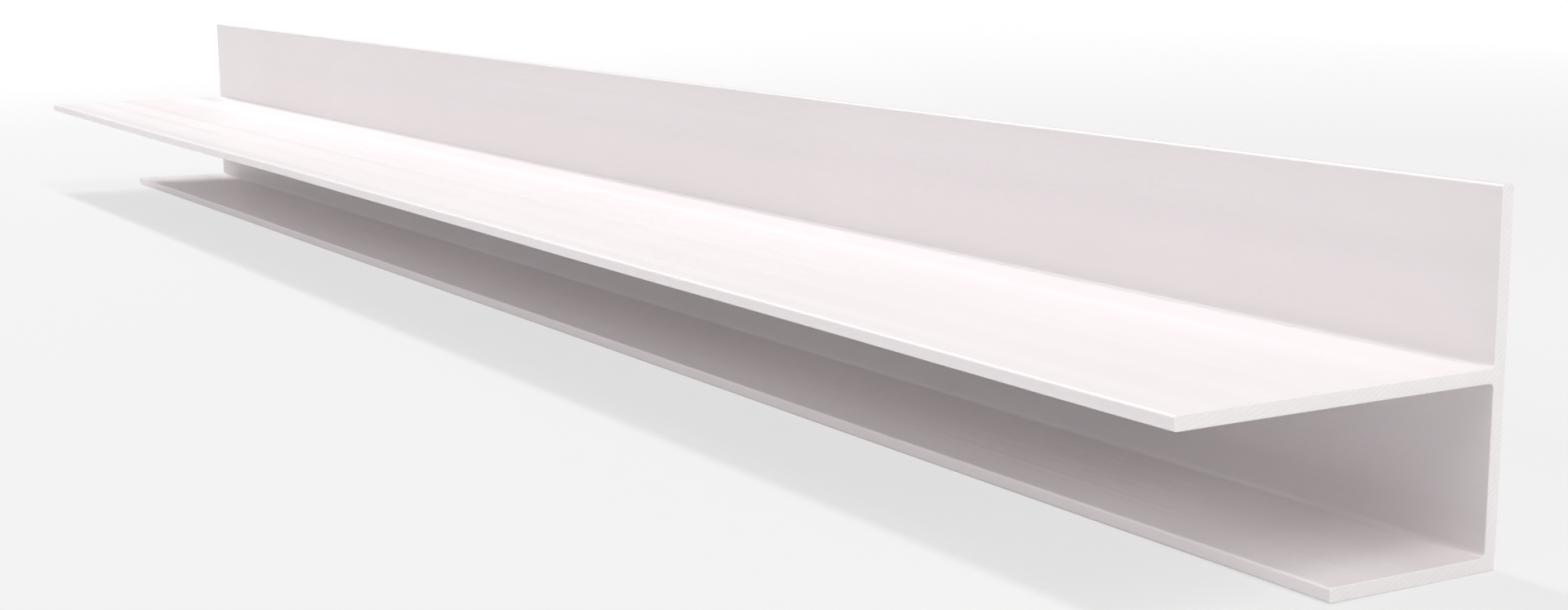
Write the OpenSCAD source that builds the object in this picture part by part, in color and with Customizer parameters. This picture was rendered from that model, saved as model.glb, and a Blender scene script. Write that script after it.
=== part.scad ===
// F-trim: one extruded length of rigid PVC with an F-shaped section.
// A back flange stands upright. A long face leg leaves it half way up and a shorter
// bottom leg leaves it at the foot. A sheet's edge goes into the channel between the legs.
//
// X runs along the length, the flange's back faces +Y, the legs reach towards -Y and Z is up.
// The origin is at the middle of the bounding box's base.

/* [Stock] */
// Length of the cut piece
stock_length = 460; // [60:10:3000]
// Wall thickness of the flange and of both legs
wall = 1.75; // [1.2:0.05:3]

/* [Section] */
// Clear height of the channel between the two legs
channel_gap = 20; // [6:0.5:40]
// Height of the flange above the top of the face leg
flange_rise = 20.5; // [8:0.5:60]
// Reach of the face leg, measured from the front of the flange
face_leg = 46.25; // [30:0.25:90]
// Reach of the bottom leg, measured from the front of the flange
bottom_leg = 23.75; // [10:0.25:28]

/* [Edges] */
// Rounding on the corners of the free edges and on the foot of the flange
edge_round = 0.35; // [0.1:0.05:0.5]
// Radius in the inner corners where a leg meets the flange
corner_fillet = 0.6; // [0.2:0.1:2]

/* [Hidden] */
$fn = 48;

// Places of the section's parts, with its own Y and Z drawn as x and y.
face_leg_z = wall + channel_gap;
flange_height = face_leg_z + wall + flange_rise;
section_depth = face_leg + wall;
flange_front = section_depth / 2 - wall;

// A plate of the section with its four corners rounded.
module rounded_plate(width, height) {
    translate([edge_round, 0]) square([width - 2 * edge_round, height]);
    translate([0, edge_round]) square([width, height - 2 * edge_round]);
    for (x = [edge_round, width - edge_round], y = [edge_round, height - edge_round])
        translate([x, y]) circle(r = edge_round);
}

// The small web that fills an inner corner. The corner is at the origin, and the open
// side lies towards -x and towards the sign of side in y.
module inner_fillet(side) {
    difference() {
        translate([-corner_fillet, side > 0 ? 0 : -corner_fillet]) square(corner_fillet);
        translate([-corner_fillet, side * corner_fillet]) circle(r = corner_fillet);
    }
}

// The upright plate, from the floor to the free top edge.
module flange() {
    translate([flange_front, 0]) rounded_plate(wall, flange_height);
}

// A leg that reaches from the middle of the flange's wall towards -y.
module leg(reach, underside_z) {
    translate([flange_front - reach, underside_z]) rounded_plate(reach + wall, wall);
}

module section() {
    flange();
    leg(face_leg, face_leg_z);
    leg(bottom_leg, 0);
    translate([flange_front, face_leg_z + wall]) inner_fillet(1);
    translate([flange_front, face_leg_z]) inner_fillet(-1);
    translate([flange_front, wall]) inner_fillet(1);
}

module f_trim() {
    color("white")
        rotate([90, 0, 90])
            linear_extrude(height = stock_length, center = true) section();
}

f_trim();
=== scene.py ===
"""A cut length of white PVC F-trim, standing on its bottom leg in soft studio light."""

import math

import bmesh
import bpy
from bpy.props import FloatProperty, FloatVectorProperty, IntProperty, PointerProperty
from mathutils import Matrix, Vector, noise


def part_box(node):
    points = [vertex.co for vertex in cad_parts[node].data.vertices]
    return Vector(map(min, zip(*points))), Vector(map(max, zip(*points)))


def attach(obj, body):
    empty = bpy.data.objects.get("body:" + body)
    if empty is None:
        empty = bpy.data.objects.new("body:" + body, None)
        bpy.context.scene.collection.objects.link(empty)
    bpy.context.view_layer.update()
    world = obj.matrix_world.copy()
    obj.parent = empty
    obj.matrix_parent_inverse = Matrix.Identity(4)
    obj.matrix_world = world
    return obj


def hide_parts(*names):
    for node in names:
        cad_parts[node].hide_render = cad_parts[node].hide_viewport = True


bl_info = {
    "name": "PVC F-Trim",
    "version": (1, 0, 0),
    "blender": (4, 5, 0),
    "location": "View3D > Sidebar > F-Trim",
    "description": "Models a cut length of white PVC F-trim, with its camera and its studio",
    "category": "Add Mesh",
}

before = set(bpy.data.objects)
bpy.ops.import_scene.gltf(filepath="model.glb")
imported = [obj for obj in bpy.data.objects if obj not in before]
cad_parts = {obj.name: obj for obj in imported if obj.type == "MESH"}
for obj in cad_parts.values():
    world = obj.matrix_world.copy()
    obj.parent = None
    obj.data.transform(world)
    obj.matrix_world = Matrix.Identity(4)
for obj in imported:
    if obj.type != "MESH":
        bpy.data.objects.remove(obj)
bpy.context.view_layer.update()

NODE = "f_trim"
BODY = "root"
MM = 0.001
LENGTHWAYS = Vector((1, 0, 0))
DEPTHWAYS = Vector((0, 1, 0))
UPWARDS = Vector((0, 0, 1))

# Name of the value on each vertex that says whether it lies on a rounded edge, which handling rubs
# and the colour lightens with a painted highlight.
EDGE_WEAR_AND_HIGHLIGHT = "edge_wear_and_highlight"
# Rows of noise that the free edges follow, so that no two move alike.
FLANGE_ROW = 1
FACE_LEG_ROW = 2
FACE_TIP_ROW = 3
BOTTOM_LEG_ROW = 4
BOTTOM_TIP_ROW = 5
# Refractive index of rigid PVC.
PVC_IOR = 1.53
# Middle of the saw blade in Y and Z when it cut the ends.
SAW_CENTRE = (-0.06, 0.145)

# The whole range of a mask.
WHOLE = (0.0, 1.0)
# The middle of a noise, which most of it lies in.
NOISE_MIDDLE = (0.3, 0.7)
# The narrower middle that turns a noise into plain streaks.
STREAK_MIDDLE = (0.4, 0.6)
# Reliefs of the two materials: depth, where a negative one sinks, and strength.
DIE_LINE_RELIEF = (0.1 * MM, 0.6)
BROAD_LINE_RELIEF = (0.4 * MM, 0.5)
GRAIN_RELIEF = (0.03 * MM, 0.3)
SCUFF_RELIEF = (-0.02 * MM, 0.6)
SAW_RELIEF = (0.06 * MM, 0.4)
TORN_RELIEF = (0.03 * MM, 0.4)

# Greys of the floor: what it reflects onto the trim, what it reflects for the camera, and
# what it glows for the camera beside the trim.
FLOOR_GREY = 0.75
SHOWN_GREY = 0.22
SHOWN_GLOW = 0.62
# Strength of the white light that reaches the trim from all sides.
ROOM_LIGHT = 0.36
# Point that every soft light faces.
LIT_POINT = (0.05, 0, 0.02)
# Soft lights: name, place, extent along and across the trim in metres, power in watts, and
# whether gloss shows it. The low ones at the ends would glare along the channel.
SOFT_LIGHTS = (
    ("over_far_end", (-0.8, 0.04, 1.0), (0.5, 0.12), 8.6, True),
    ("over_near_end", (0.65, 0.04, 1.25), (0.4, 0.12), 4.1, True),
    ("near_end_high", (1.05, -0.1, 1.05), (0.5, 0.4), 2.8, True),
    ("near_end_middle", (1.4, 0, 0.5), (0.2, 0.3), 2.1, False),
    ("near_end_low", (1.5, 0, 0.15), (0.12, 0.06), 3.7, False),
    ("far_end_low", (-1.5, 0, 0.1), (0.1, 0.06), 8.5, False),
    ("front", (-0.02, -1.25, 0.7), (1.3, 0.5), 7.1, True),
    ("back_low", (0, 1.5, 0.28), (1.4, 0.3), 6.0, True),
)


class TrimSizes(bpy.types.PropertyGroup):
    """Sizes of the extrusion that the overall box does not give."""

    wall: FloatProperty(
        name="Wall",
        description="Thickness of the flange and of both legs",
        default=1.75 * MM,
        unit="LENGTH",
        precision=5,
    )
    channel_gap: FloatProperty(
        name="Channel gap",
        description="Clear height between the two legs",
        default=20 * MM,
        unit="LENGTH",
        precision=5,
    )
    bottom_leg: FloatProperty(
        name="Bottom leg",
        description="Reach of the bottom leg from the front of the flange",
        default=23.75 * MM,
        unit="LENGTH",
        precision=5,
    )
    edge_round: FloatProperty(
        name="Edge rounding",
        description="Radius on the long outer edges",
        default=0.35 * MM,
        unit="LENGTH",
        precision=5,
    )
    corner_fillet: FloatProperty(
        name="Corner fillet",
        description="Radius where a leg meets the flange",
        default=0.6 * MM,
        unit="LENGTH",
        precision=5,
    )
    end_break: FloatProperty(
        name="End break",
        description="Width of the scraped edge round each sawn end",
        default=0.12 * MM,
        unit="LENGTH",
        precision=5,
    )
    waviness: FloatProperty(
        name="Waviness",
        description="How far the free edges wander from true along the length",
        default=0.28 * MM,
        unit="LENGTH",
        precision=5,
    )
    sink_depth: FloatProperty(
        name="Sink depth",
        description="Depth of the shallow sink behind each leg on the flange's back",
        default=0.08 * MM,
        unit="LENGTH",
        precision=6,
    )
    arc_segments: IntProperty(
        name="Arc segments",
        description="Segments in each rounded edge and fillet",
        default=4,
        min=2,
        max=12,
    )


class TrimFinish(bpy.types.PropertyGroup):
    """Colour and surface of the plastic."""

    white: FloatVectorProperty(
        name="White",
        description="Colour of the extruded faces",
        subtype="COLOR",
        size=3,
        min=0,
        max=1,
        default=(0.80, 0.753, 0.762),
    )
    # Darker than the extruded white: partly the duller sawn surface, partly painted shade on the
    # end faces.
    sawn_shaded_white: FloatVectorProperty(
        name="Sawn white",
        description="Colour of the sawn end faces",
        subtype="COLOR",
        size=3,
        min=0,
        max=1,
        default=(0.725, 0.692, 0.694),
    )
    roughness: FloatProperty(
        name="Roughness",
        description="Mean roughness of the extruded faces",
        subtype="FACTOR",
        default=0.42,
        min=0,
        max=1,
    )
    line_pitch: FloatProperty(
        name="Die line pitch",
        description="Usual distance between the fine lines that the die leaves",
        default=0.9 * MM,
        unit="LENGTH",
        precision=5,
    )


class StudioSettings(bpy.types.PropertyGroup):
    """Camera and floor."""

    lens: FloatProperty(name="Lens", description="Focal length in millimetres", default=51.87)
    heading: FloatProperty(
        name="Heading",
        description="Turn of the view from the trim's length towards its back",
        subtype="ANGLE",
        default=math.radians(31.18),
    )
    pitch: FloatProperty(
        name="Pitch",
        description="How far the camera looks down",
        subtype="ANGLE",
        default=math.radians(9.64),
    )
    beyond_end: FloatProperty(
        name="Beyond the end",
        description="Distance of the camera past the near end",
        default=169.6 * MM,
        unit="LENGTH",
    )
    before_flange: FloatProperty(
        name="Before the flange",
        description="Distance of the camera in front of the flange",
        default=194.8 * MM,
        unit="LENGTH",
    )
    eye_height: FloatProperty(
        name="Eye height",
        description="Height of the camera above the floor",
        default=72.4 * MM,
        unit="LENGTH",
    )
    floor_size: FloatProperty(
        name="Floor size",
        description="Side of the square floor",
        default=12.0,
        unit="LENGTH",
    )
    fade_start: FloatProperty(
        name="Fade start",
        description="Distance from the trim's middle where the floor starts to fade to white",
        default=0.4,
        unit="LENGTH",
    )
    fade_end: FloatProperty(
        name="Fade end",
        description="Distance from the trim's middle where the floor glows fully white",
        default=2.0,
        unit="LENGTH",
    )


class Section:
    """The F's lines in Y and Z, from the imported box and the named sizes."""

    def __init__(self, sizes):
        low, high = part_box(NODE)
        self.near_x = high.x
        self.far_x = low.x
        self.back_y = high.y
        self.front_y = high.y - sizes.wall
        self.face_tip_y = low.y
        self.bottom_tip_y = self.front_y - sizes.bottom_leg
        self.foot_z = low.z
        self.bottom_top_z = low.z + sizes.wall
        self.face_under_z = self.bottom_top_z + sizes.channel_gap
        self.face_top_z = self.face_under_z + sizes.wall
        self.head_z = high.z
        if self.head_z <= self.face_top_z or self.face_tip_y >= self.front_y:
            raise RuntimeError("the named sizes do not fit inside the packed box")

    def corners(self):
        """The ten corners of the F, in order round it."""
        return [
            (self.back_y, self.foot_z),
            (self.back_y, self.head_z),
            (self.front_y, self.head_z),
            (self.front_y, self.face_top_z),
            (self.face_tip_y, self.face_top_z),
            (self.face_tip_y, self.face_under_z),
            (self.front_y, self.face_under_z),
            (self.front_y, self.bottom_top_z),
            (self.bottom_tip_y, self.bottom_top_z),
            (self.bottom_tip_y, self.foot_z),
        ]

    def leg_middles(self):
        """Heights of the middle of each leg's thickness."""
        return [
            (self.foot_z + self.bottom_top_z) / 2,
            (self.face_under_z + self.face_top_z) / 2,
        ]


def runs_along(edge):
    """True for an edge that lies along the length."""
    a, b = edge.verts
    return abs(a.co.x - b.co.x) > max(abs(a.co.y - b.co.y), abs(a.co.z - b.co.z))


def is_end(face):
    """True for a face that looks along the length, as the sawn ends do."""
    least_x = 0.9
    return abs(face.normal.x) > least_x


def is_rim(edge):
    """True for an edge between a sawn end and a long face."""
    return len(edge.link_faces) == 2 and is_end(edge.link_faces[0]) != is_end(edge.link_faces[1])


def between(start, end, count):
    """Evenly spaced places strictly between two ends."""
    return [start + (end - start) * i / count for i in range(1, count)]


def bevel_edges(bm, edges, width, segments):
    """Rounds some edges and returns the new faces."""
    made = bmesh.ops.bevel(
        bm,
        geom=edges,
        offset=width,
        offset_type="OFFSET",
        affect="EDGES",
        segments=segments,
        profile=0.5,
        material=-1,
        clamp_overlap=True,
    )
    return made["faces"]


def cut_across(bm, places, direction):
    """Cuts the whole mesh at each place along a direction, so that it can bend there."""
    tolerance = 1e-7
    for place in places:
        bmesh.ops.bisect_plane(
            bm,
            geom=bm.verts[:] + bm.edges[:] + bm.faces[:],
            dist=tolerance,
            plane_co=direction * place,
            plane_no=direction,
        )


def extrude_section(bm, section):
    """Draws the F at the far end and extrudes it to the near end."""
    corners = [bm.verts.new((section.far_x, y, z)) for y, z in section.corners()]
    face = bm.faces.new(corners)
    grown = bmesh.ops.extrude_face_region(bm, geom=[face], use_keep_orig=True)
    moved = [v for v in grown["geom"] if isinstance(v, bmesh.types.BMVert)]
    bmesh.ops.translate(bm, verts=moved, vec=(section.near_x - section.far_x, 0, 0))
    bmesh.ops.recalc_face_normals(bm, faces=bm.faces[:])


def round_long_edges(bm, sizes, rounded):
    """Rounds the outer edges, marks them in a layer, and fills the inner corners."""
    outer = [e for e in bm.edges if runs_along(e) and e.is_convex]
    inner = [e for e in bm.edges if runs_along(e) and not e.is_convex]
    bevel_edges(bm, inner, sizes.corner_fillet, sizes.arc_segments)
    outer = [e for e in outer if e.is_valid]
    for face in bevel_edges(bm, outer, sizes.edge_round, sizes.arc_segments):
        face[rounded] = 1


def break_end_edges(bm, sizes):
    """Takes the sharpness off the outline of each sawn end."""
    segments = 2
    bevel_edges(bm, [e for e in bm.edges if is_rim(e)], sizes.end_break, segments)


def add_bending_cuts(bm, section, sizes):
    """Adds the rows of vertices along and across the faces that the waves and sinks need."""
    length_steps = 120
    leg_steps = 8
    rise_steps = 6
    sink_steps = 12
    sink_reach = 3 * sink_width(sizes)
    cut_across(bm, between(section.far_x, section.near_x, length_steps), LENGTHWAYS)
    across_leg = between(section.face_tip_y, section.front_y, leg_steps)
    cut_across(bm, [section.front_y, *across_leg], DEPTHWAYS)
    leg_faces = [section.bottom_top_z, section.face_under_z, section.face_top_z]
    cut_across(bm, leg_faces, UPWARDS)
    cut_across(bm, between(section.face_top_z, section.head_z, rise_steps), UPWARDS)
    for middle in section.leg_middles():
        over_sink = between(middle - sink_reach, middle + sink_reach, sink_steps)
        cut_across(bm, [z for z in over_sink if z > section.foot_z], UPWARDS)


def mark_rubbed_highlit_edges(bm, rounded):
    """Writes on each vertex whether it lies within a rounded edge, for the material's rubbed wear
    and painted highlight.
    """
    wear = bm.verts.layers.float.new(EDGE_WEAR_AND_HIGHLIGHT)
    for vert in bm.verts:
        vert[wear] = float(all(face[rounded] for face in vert.link_faces))


def sink_width(sizes):
    """Width of the sink behind a leg, a little less than the leg's thickness."""
    share_of_wall = 0.6
    return share_of_wall * sizes.wall


def wander(x, row):
    """A smooth wave along the length, about -1 to 1, with another shape for each row."""
    slow_waves, slow_share = 7.0, 1.5
    quick_waves, quick_share = 21.0, 0.4
    row_spacing = 5.3
    quick_layer = 4.0
    slow = noise.noise(Vector((x * slow_waves, row * row_spacing, 0.0)))
    quick = noise.noise(Vector((x * quick_waves, row * row_spacing, quick_layer)))
    return slow_share * slow + quick_share * quick


def bend_share(place, root, tip):
    """How much of a leg's bend is reached at a place: none at its root, all at its tip."""
    return ((place - root) / (tip - root)) ** 2


def bend_flange(vert, section, sizes):
    """Leans the flange's free part in and out, and dents its back behind the legs."""
    forward_lean = 0.5
    dented_skin = 0.1 * sizes.wall
    x, y, z = vert.co
    if z > section.face_top_z:
        bend = sizes.waviness * bend_share(z, section.face_top_z, section.head_z)
        vert.co.y -= bend * (forward_lean + wander(x, FLANGE_ROW))
    if y > section.back_y - dented_skin:
        for middle in section.leg_middles():
            off_middle = (z - middle) / sink_width(sizes)
            vert.co.y -= sizes.sink_depth * math.exp(-off_middle ** 2)


def bend_face_leg(vert, section, sizes):
    """Lets the face leg's free edge droop a little and wander."""
    droop = 0.4
    tip_share = 0.3
    x, y, _ = vert.co
    bend = sizes.waviness * bend_share(y, section.front_y, section.face_tip_y)
    vert.co.z += bend * (wander(x, FACE_LEG_ROW) - droop)
    vert.co.y += bend * tip_share * wander(x, FACE_TIP_ROW)


def bend_bottom_leg(vert, section, sizes):
    """Lifts the bottom leg's free edge off the floor here and there."""
    lift = 0.5
    tip_share = 0.3
    x, y, _ = vert.co
    bend = sizes.waviness * bend_share(y, section.front_y, section.bottom_tip_y)
    vert.co.z += bend * lift * (1 + wander(x, BOTTOM_LEG_ROW))
    vert.co.y += bend * tip_share * wander(x, BOTTOM_TIP_ROW)


def let_it_wander(bm, section, sizes):
    """Bends the flange and the legs by fractions of a millimetre."""
    slack = 0.01 * MM
    for vert in bm.verts:
        if vert.co.y > section.front_y - slack:
            bend_flange(vert, section, sizes)
        elif vert.co.z > section.face_under_z - slack:
            bend_face_leg(vert, section, sizes)
        else:
            bend_bottom_leg(vert, section, sizes)


def link(tree, source, out, target, into):
    """Links an output of one node to an input of another."""
    tree.links.new(source.outputs[out], target.inputs[into])


def math_node(tree, operation, value=None):
    """A math node, with its second number if that is fixed."""
    node = tree.nodes.new("ShaderNodeMath")
    node.operation = operation
    if value is not None:
        node.inputs[1].default_value = value
    return node


def product_of(tree, first, out, second, second_out):
    """One mask times another."""
    product = math_node(tree, "MULTIPLY")
    link(tree, first, out, product, 0)
    link(tree, second, second_out, product, 1)
    return product


def add_share(tree, mask, out, share, base, base_out):
    """Adds a share of a mask to another node's value."""
    total = math_node(tree, "MULTIPLY_ADD", share)
    link(tree, mask, out, total, 0)
    link(tree, base, base_out, total, 2)
    return total


def range_of(tree, mask, out, values, stretch=NOISE_MIDDLE):
    """Maps a stretch of a mask to a range of values, and keeps to their ends beyond it."""
    spread = tree.nodes.new("ShaderNodeMapRange")
    spread.inputs["From Min"].default_value = stretch[0]
    spread.inputs["From Max"].default_value = stretch[1]
    spread.inputs["To Min"].default_value = values[0]
    spread.inputs["To Max"].default_value = values[1]
    link(tree, mask, out, spread, "Value")
    return spread


def shade_between(tree, mask, out, dark, light):
    """Turns a mask into a colour between two shades."""
    mix = tree.nodes.new("ShaderNodeMix")
    mix.data_type = "RGBA"
    mix.inputs["A"].default_value = (*dark, 1.0)
    mix.inputs["B"].default_value = (*light, 1.0)
    link(tree, mask, out, mix, "Factor")
    return mix


def bump(tree, mask, out, relief, below=None):
    """Raises or sinks the surface by a mask, on top of another bump if there is one."""
    depth, strength = relief
    node = tree.nodes.new("ShaderNodeBump")
    node.invert = depth < 0
    node.inputs["Distance"].default_value = abs(depth)
    node.inputs["Strength"].default_value = strength
    link(tree, mask, out, node, "Height")
    if below is not None:
        link(tree, below, "Normal", node, "Normal")
    return node


def add_noise(tree, source, out, detail):
    """A noise texture that reads its place from another node."""
    texture = tree.nodes.new("ShaderNodeTexNoise")
    texture.inputs["Detail"].default_value = detail
    link(tree, source, out, texture, "Vector")
    return texture


def start_group(name):
    """A node group that reads a place, with its entry and its exit."""
    group = bpy.data.node_groups.new(name, "ShaderNodeTree")
    group.interface.new_socket(name="Vector", in_out="INPUT", socket_type="NodeSocketVector")
    entry = group.nodes.new("NodeGroupInput")
    leave = group.nodes.new("NodeGroupOutput")
    return group, entry, leave


def add_input(group, name, usual):
    """Adds a number that a material may set, with its usual value."""
    made = group.interface.new_socket(name=name, in_out="INPUT", socket_type="NodeSocketFloat")
    made.default_value = usual


def add_output(group, name):
    """Adds a mask that the group puts out."""
    group.interface.new_socket(name=name, in_out="OUTPUT", socket_type="NodeSocketFloat")


def mottle_group():
    """Slow clouding and a fine grain, as two masks from 0 to 1."""
    clouds_per_metre, cloud_detail = 18.0, 3.0
    grains_per_metre, grain_detail = 2200.0, 2.0
    group, entry, leave = start_group("Mottle")
    for name, per_metre, detail in (
        ("Cloud", clouds_per_metre, cloud_detail),
        ("Grain", grains_per_metre, grain_detail),
    ):
        scale = name + " scale"
        add_input(group, scale, per_metre)
        add_output(group, name)
        texture = add_noise(group, entry, "Vector", detail)
        link(group, entry, scale, texture, "Scale")
        link(group, texture, "Fac", leave, name)
    return group


def streak_group():
    """Lines that run along X, fine ones and broad ones, as masks from 0 to 1."""
    lines_per_metre = 1100.0
    fine_share, broad_share = 1.0, 0.12
    squeeze_along = 0.004
    detail = 2.0
    group, entry, leave = start_group("Streaks")
    add_input(group, "Lines per metre", lines_per_metre)
    stretch = group.nodes.new("ShaderNodeMapping")
    stretch.inputs["Scale"].default_value = (squeeze_along, 1.0, 1.0)
    link(group, entry, "Vector", stretch, "Vector")
    for name, share in (("Fine", fine_share), ("Broad", broad_share)):
        add_output(group, name)
        scale = math_node(group, "MULTIPLY", share)
        link(group, entry, "Lines per metre", scale, 0)
        lines = add_noise(group, stretch, "Vector", detail)
        link(group, scale, "Value", lines, "Scale")
        link(group, lines, "Fac", leave, name)
    return group


def scuff_group():
    """Sparse hairline scratches at two slants to the length, as one mask from 0 to 1."""
    hairs_per_metre = 3200.0
    slants = (math.radians(11), math.radians(-27))
    stretch_along = 70
    hair_detail, patch_detail = 0.0, 2.0
    patches_per_metre = 26.0
    hair_peaks = (0.67, 0.72)
    patch_peaks = (0.48, 0.6)
    group, entry, leave = start_group("Scuffs")
    add_input(group, "Hairs per metre", hairs_per_metre)
    add_output(group, "Scuff")
    either = math_node(group, "MAXIMUM")
    for slot, slant in enumerate(slants):
        turn = group.nodes.new("ShaderNodeMapping")
        turn.vector_type = "TEXTURE"
        turn.inputs["Rotation"].default_value = (0, slant, slant)
        turn.inputs["Scale"].default_value = (stretch_along, 1, 1)
        link(group, entry, "Vector", turn, "Vector")
        hairs = add_noise(group, turn, "Vector", hair_detail)
        link(group, entry, "Hairs per metre", hairs, "Scale")
        thin = range_of(group, hairs, "Fac", WHOLE, hair_peaks)
        link(group, thin, "Result", either, slot)
    patches = add_noise(group, entry, "Vector", patch_detail)
    patches.inputs["Scale"].default_value = patches_per_metre
    here = range_of(group, patches, "Fac", WHOLE, patch_peaks)
    sparse = product_of(group, either, "Value", here, "Result")
    link(group, sparse, "Value", leave, "Scuff")
    return group


def start_material(name):
    """A material with its plain shader and its object coordinates."""
    material = bpy.data.materials.new(name)
    material.use_nodes = True
    tree = material.node_tree
    tree.nodes.clear()
    shader = tree.nodes.new("ShaderNodeBsdfPrincipled")
    output = tree.nodes.new("ShaderNodeOutputMaterial")
    place = tree.nodes.new("ShaderNodeTexCoord")
    link(tree, shader, "BSDF", output, "Surface")
    return material, tree, shader, place


def add_group(tree, group, place):
    """Puts a node group in a material, on the object's own coordinates."""
    node = tree.nodes.new("ShaderNodeGroup")
    node.node_tree = group
    link(tree, place, "Object", node, "Vector")
    return node


def rubbed_highlit_edges(tree, clouds):
    """A mask of the outer rounded edges, broken up by the clouding: handling rubs them, and the
    colour paints a highlight on them.
    """
    least_and_most = (0.25, 1.0)
    patches = (0.35, 0.6)
    edges = tree.nodes.new("ShaderNodeAttribute")
    edges.attribute_name = EDGE_WEAR_AND_HIGHLIGHT
    patchy = range_of(tree, clouds, "Cloud", least_and_most, patches)
    return product_of(tree, edges, "Fac", patchy, "Result")


def extruded_colour(tree, white, clouds, lines, rubbed_and_highlit):
    """The white, a little uneven by the clouding and the lines, and lighter on the rounded edges,
    as rubbed wear and a painted highlight.
    """
    # The last share lightens the rounded edges: rubbed wear and a painted highlight.
    darkest, lightest, rubbed_highlight = 0.975, 1.018, 1.05
    line_share = 0.5
    clouded = range_of(tree, clouds, "Cloud", (0.0, 1 - line_share))
    streaked = range_of(tree, lines, "Broad", WHOLE, STREAK_MIDDLE)
    uneven = add_share(tree, streaked, "Result", line_share, clouded, "Result")
    shaded = shade_between(tree, uneven, "Value", white * darkest, white * lightest)
    # Painted highlight, with rubbed wear, on the rounded edges.
    colour = shade_between(tree, rubbed_and_highlit, "Value", white, white * rubbed_highlight)
    link(tree, shaded, "Result", colour, "A")
    return colour


def extruded_gloss(tree, roughness, lines, hairs, rubbed_and_highlit):
    """A satin that changes along the lines, dulled by scuffs and polished where rubbed."""
    line_swing = 0.06
    scuff_dulls = 0.2
    rubbing_polishes = -0.1
    ends = (roughness - line_swing, roughness + line_swing)
    satin = range_of(tree, lines, "Broad", ends, STREAK_MIDDLE)
    scratched = add_share(tree, hairs, "Scuff", scuff_dulls, satin, "Result")
    return add_share(tree, rubbed_and_highlit, "Value", rubbing_polishes, scratched, "Value")


def extruded_material(finish, mottle, streaks, scuffs):
    """The faces that slid through the die: satin, with lines along the length and a few scuffs."""
    material, tree, shader, place = start_material("pvc_extruded")
    clouds = add_group(tree, mottle, place)
    lines = add_group(tree, streaks, place)
    lines.inputs["Lines per metre"].default_value = 1 / finish.line_pitch
    hairs = add_group(tree, scuffs, place)
    # Mask of the rounded edges, for rubbed wear and a painted highlight.
    rubbed_and_highlit = rubbed_highlit_edges(tree, clouds)
    colour = extruded_colour(tree, Vector(finish.white), clouds, lines, rubbed_and_highlit)
    link(tree, colour, "Result", shader, "Base Color")
    gloss = extruded_gloss(tree, finish.roughness, lines, hairs, rubbed_and_highlit)
    link(tree, gloss, "Value", shader, "Roughness")
    shader.inputs["IOR"].default_value = PVC_IOR
    drawn = bump(tree, lines, "Fine", DIE_LINE_RELIEF)
    broad = bump(tree, lines, "Broad", BROAD_LINE_RELIEF, drawn)
    peel = bump(tree, clouds, "Grain", GRAIN_RELIEF, broad)
    scored = bump(tree, hairs, "Scuff", SCUFF_RELIEF, peel)
    link(tree, scored, "Normal", shader, "Normal")
    return material


def saw_scores(tree, place, clouds):
    """Arcs that the saw blade's teeth leave across an end, deeper in some places."""
    centred = tree.nodes.new("ShaderNodeMapping")
    centred.inputs["Location"].default_value = (0, -SAW_CENTRE[0], -SAW_CENTRE[1])
    link(tree, place, "Object", centred, "Vector")
    arcs = tree.nodes.new("ShaderNodeTexWave")
    arcs.wave_type = "RINGS"
    arcs.rings_direction = "X"
    for name, value in (
        ("Scale", 520.0),
        ("Distortion", 3.0),
        ("Detail", 3.0),
        ("Detail Scale", 2.0),
    ):
        arcs.inputs[name].default_value = value
    link(tree, centred, "Vector", arcs, "Vector")
    return product_of(tree, arcs, "Fac", clouds, "Cloud")


def sawn_material(finish, mottle):
    """The sawn ends: duller and darker, partly as sawn PVC and partly as painted shade, scored by
    the blade and a little torn.
    """
    tears_per_metre = 260.0
    score_stretch = (0.1, 0.6)
    darkest, lightest = 0.97, 1.02
    dullness = (0.52, 0.68)
    material, tree, shader, place = start_material("pvc_sawn")
    clouds = add_group(tree, mottle, place)
    clouds.inputs["Cloud scale"].default_value = tears_per_metre
    scores = saw_scores(tree, place, clouds)
    spread = range_of(tree, scores, "Value", WHOLE, score_stretch)
    # A darker white: partly the sawn surface, partly painted shade on the ends.
    white = Vector(finish.sawn_shaded_white)
    colour = shade_between(tree, spread, "Result", white * darkest, white * lightest)
    link(tree, colour, "Result", shader, "Base Color")
    rough = range_of(tree, clouds, "Grain", dullness)
    link(tree, rough, "Result", shader, "Roughness")
    shader.inputs["IOR"].default_value = PVC_IOR
    scored = bump(tree, scores, "Value", SAW_RELIEF)
    torn = bump(tree, clouds, "Grain", TORN_RELIEF, scored)
    link(tree, torn, "Normal", shader, "Normal")
    return material


def make_matt(shader, grey):
    """Gives a shader one grey and no shine."""
    shader.inputs["Base Color"].default_value = (grey, grey, grey, 1)
    shader.inputs["Roughness"].default_value = 0.9
    shader.inputs["Specular IOR Level"].default_value = 0.0


def show_camera(tree, shown, plain, out, output):
    """Shows one shader to the camera and lights the trim by another."""
    path = tree.nodes.new("ShaderNodeLightPath")
    pick = tree.nodes.new("ShaderNodeMixShader")
    link(tree, path, "Is Camera Ray", pick, 0)
    link(tree, plain, out, pick, 1)
    link(tree, shown, out, pick, 2)
    link(tree, pick, "Shader", output, "Surface")


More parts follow.
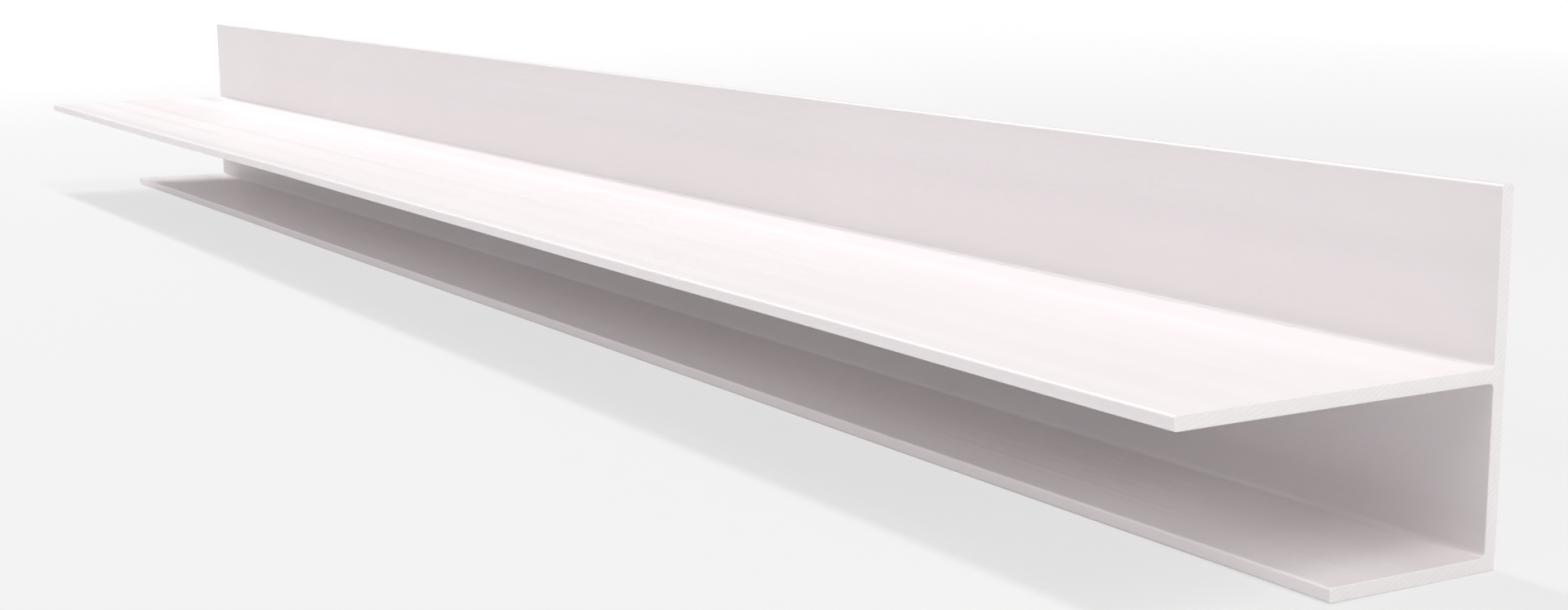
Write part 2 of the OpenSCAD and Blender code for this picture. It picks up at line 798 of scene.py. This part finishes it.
def floor_material(studio):
    """A pale matt floor that fades to white, for the camera alone, away from the trim."""
    material, tree, shader, place = start_material("studio_floor")
    make_matt(shader, FLOOR_GREY)
    shown = tree.nodes.new("ShaderNodeBsdfPrincipled")
    make_matt(shown, SHOWN_GREY)
    shown.inputs["Emission Strength"].default_value = 1.0
    away = tree.nodes.new("ShaderNodeVectorMath")
    away.operation = "LENGTH"
    link(tree, place, "Object", away, 0)
    fade = range_of(tree, away, "Value", WHOLE, (studio.fade_start, studio.fade_end))
    glow = shade_between(tree, fade, "Result", [SHOWN_GLOW] * 3, (1, 1, 1))
    link(tree, glow, "Result", shown, "Emission Color")
    show_camera(tree, shown, shader, "BSDF", tree.nodes["Material Output"])
    return material


def white_background(tree, strength):
    """White light from all sides."""
    light = tree.nodes.new("ShaderNodeBackground")
    light.inputs["Color"].default_value = (1, 1, 1, 1)
    light.inputs["Strength"].default_value = strength
    return light


def studio_world():
    """A white surround for the camera, and a dim one that fills the shadows."""
    world = bpy.data.worlds.new("studio")
    world.use_nodes = True
    tree = world.node_tree
    tree.nodes.clear()
    shown = white_background(tree, 1.0)
    dim = white_background(tree, ROOM_LIGHT)
    output = tree.nodes.new("ShaderNodeOutputWorld")
    show_camera(tree, shown, dim, "Background", output)
    return world


def mesh_object(name, bm, materials):
    """Turns a bmesh into an object at the origin and links it to the scene."""
    mesh = bpy.data.meshes.new(name)
    bm.to_mesh(mesh)
    bm.free()
    for material in materials:
        mesh.materials.append(material)
    made = bpy.data.objects.new(name, mesh)
    bpy.context.scene.collection.objects.link(made)
    return made


def facing(place, point):
    """Turn that faces a light to a point, with its width as near to the trim's length as can be."""
    away = (Vector(place) - Vector(point)).normalized()
    width = (LENGTHWAYS - away * LENGTHWAYS.dot(away)).normalized()
    return Matrix((width, away.cross(width), away)).transposed().to_quaternion()


def area_light(name, place, size, power, in_gloss):
    """Hangs a soft light that faces the trim."""
    data = bpy.data.lights.new(name, "AREA")
    data.shape = "RECTANGLE"
    data.size, data.size_y = size
    data.energy = power
    lamp = bpy.data.objects.new(name, data)
    lamp.location = place
    lamp.rotation_mode = "QUATERNION"
    lamp.rotation_quaternion = facing(place, LIT_POINT)
    lamp.visible_glossy = in_gloss
    bpy.context.scene.collection.objects.link(lamp)


class FTRIM_OT_set_camera(bpy.types.Operator):
    """Places the camera beyond the near end, in front of the flange"""

    bl_idname = "ftrim.set_camera"
    bl_label = "Set the camera"

    def execute(self, context):
        studio = context.scene.ftrim_studio
        section = Section(context.scene.ftrim_sizes)
        data = bpy.data.cameras.new("camera")
        data.sensor_width = 36
        data.lens = studio.lens
        data.clip_start = 5 * MM
        data.clip_end = 50
        camera = bpy.data.objects.new("camera", data)
        camera.location = (
            section.near_x + studio.beyond_end,
            section.front_y - studio.before_flange,
            studio.eye_height,
        )
        level = math.cos(studio.pitch)
        looks = Vector((
            -math.cos(studio.heading) * level,
            math.sin(studio.heading) * level,
            -math.sin(studio.pitch),
        ))
        camera.rotation_mode = "QUATERNION"
        camera.rotation_quaternion = looks.to_track_quat("-Z", "Y")
        context.scene.collection.objects.link(camera)
        context.scene.camera = camera
        return {"FINISHED"}


class FTRIM_OT_extrude_trim(bpy.types.Operator):
    """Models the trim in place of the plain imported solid"""

    bl_idname = "ftrim.extrude_trim"
    bl_label = "Extrude the trim"

    def execute(self, context):
        sizes = context.scene.ftrim_sizes
        finish = context.scene.ftrim_finish
        section = Section(sizes)
        bm = bmesh.new()
        rounded = bm.faces.layers.int.new("rounded")
        extrude_section(bm, section)
        round_long_edges(bm, sizes, rounded)
        break_end_edges(bm, sizes)
        for face in bm.faces:
            face.material_index = int(is_end(face))
        add_bending_cuts(bm, section, sizes)
        mark_rubbed_highlit_edges(bm, rounded)
        let_it_wander(bm, section, sizes)
        for face in bm.faces:
            face.smooth = True
        bm.faces.layers.int.remove(rounded)
        mottle = mottle_group()
        materials = [
            extruded_material(finish, mottle, streak_group(), scuff_group()),
            sawn_material(finish, mottle),
        ]
        trim = mesh_object("f_trim_extrusion", bm, materials)
        even = trim.modifiers.new("even_shading", "WEIGHTED_NORMAL")
        even.mode = "FACE_AREA"
        even.weight = 80
        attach(trim, BODY)
        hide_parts(NODE)
        return {"FINISHED"}


class FTRIM_OT_set_studio(bpy.types.Operator):
    """Lays the pale floor, hangs the soft lights and sets the white surround"""

    bl_idname = "ftrim.set_studio"
    bl_label = "Set the studio"

    def execute(self, context):
        studio = context.scene.ftrim_studio
        bm = bmesh.new()
        bmesh.ops.create_grid(bm, x_segments=1, y_segments=1, size=studio.floor_size / 2)
        floor = mesh_object("studio_floor", bm, [floor_material(studio)])
        for light in SOFT_LIGHTS:
            area_light(*light)
        context.scene.world = studio_world()
        context.scene.view_settings.view_transform = "Standard"
        return {"FINISHED"}


class FTRIM_PT_sidebar(bpy.types.Panel):
    """Lists the steps and the sizes in the 3D view's sidebar"""

    bl_label = "F-Trim"
    bl_idname = "FTRIM_PT_sidebar"
    bl_space_type = "VIEW_3D"
    bl_region_type = "UI"
    bl_category = "F-Trim"

    def draw(self, context):
        scene = context.scene
        for step in OPERATORS:
            self.layout.operator(step.bl_idname)
        for group in (scene.ftrim_sizes, scene.ftrim_finish, scene.ftrim_studio):
            box = self.layout.box()
            for name in group.__annotations__:
                box.prop(group, name)


OPERATORS = (FTRIM_OT_set_camera, FTRIM_OT_extrude_trim, FTRIM_OT_set_studio)
CLASSES = (TrimSizes, TrimFinish, StudioSettings, *OPERATORS, FTRIM_PT_sidebar)


def register():
    """Registers the classes and gives the scene their settings."""
    for made in CLASSES:
        bpy.utils.register_class(made)
    bpy.types.Scene.ftrim_sizes = PointerProperty(type=TrimSizes)
    bpy.types.Scene.ftrim_finish = PointerProperty(type=TrimFinish)
    bpy.types.Scene.ftrim_studio = PointerProperty(type=StudioSettings)


def unregister():
    """Takes the settings and the classes away again."""
    del bpy.types.Scene.ftrim_studio
    del bpy.types.Scene.ftrim_finish
    del bpy.types.Scene.ftrim_sizes
    for made in reversed(CLASSES):
        bpy.utils.unregister_class(made)


def main():
    """Makes the camera, the trim and the studio."""
    register()
    bpy.ops.ftrim.set_camera()
    bpy.ops.ftrim.extrude_trim()
    bpy.ops.ftrim.set_studio()


if __name__ == "__main__":
    main()
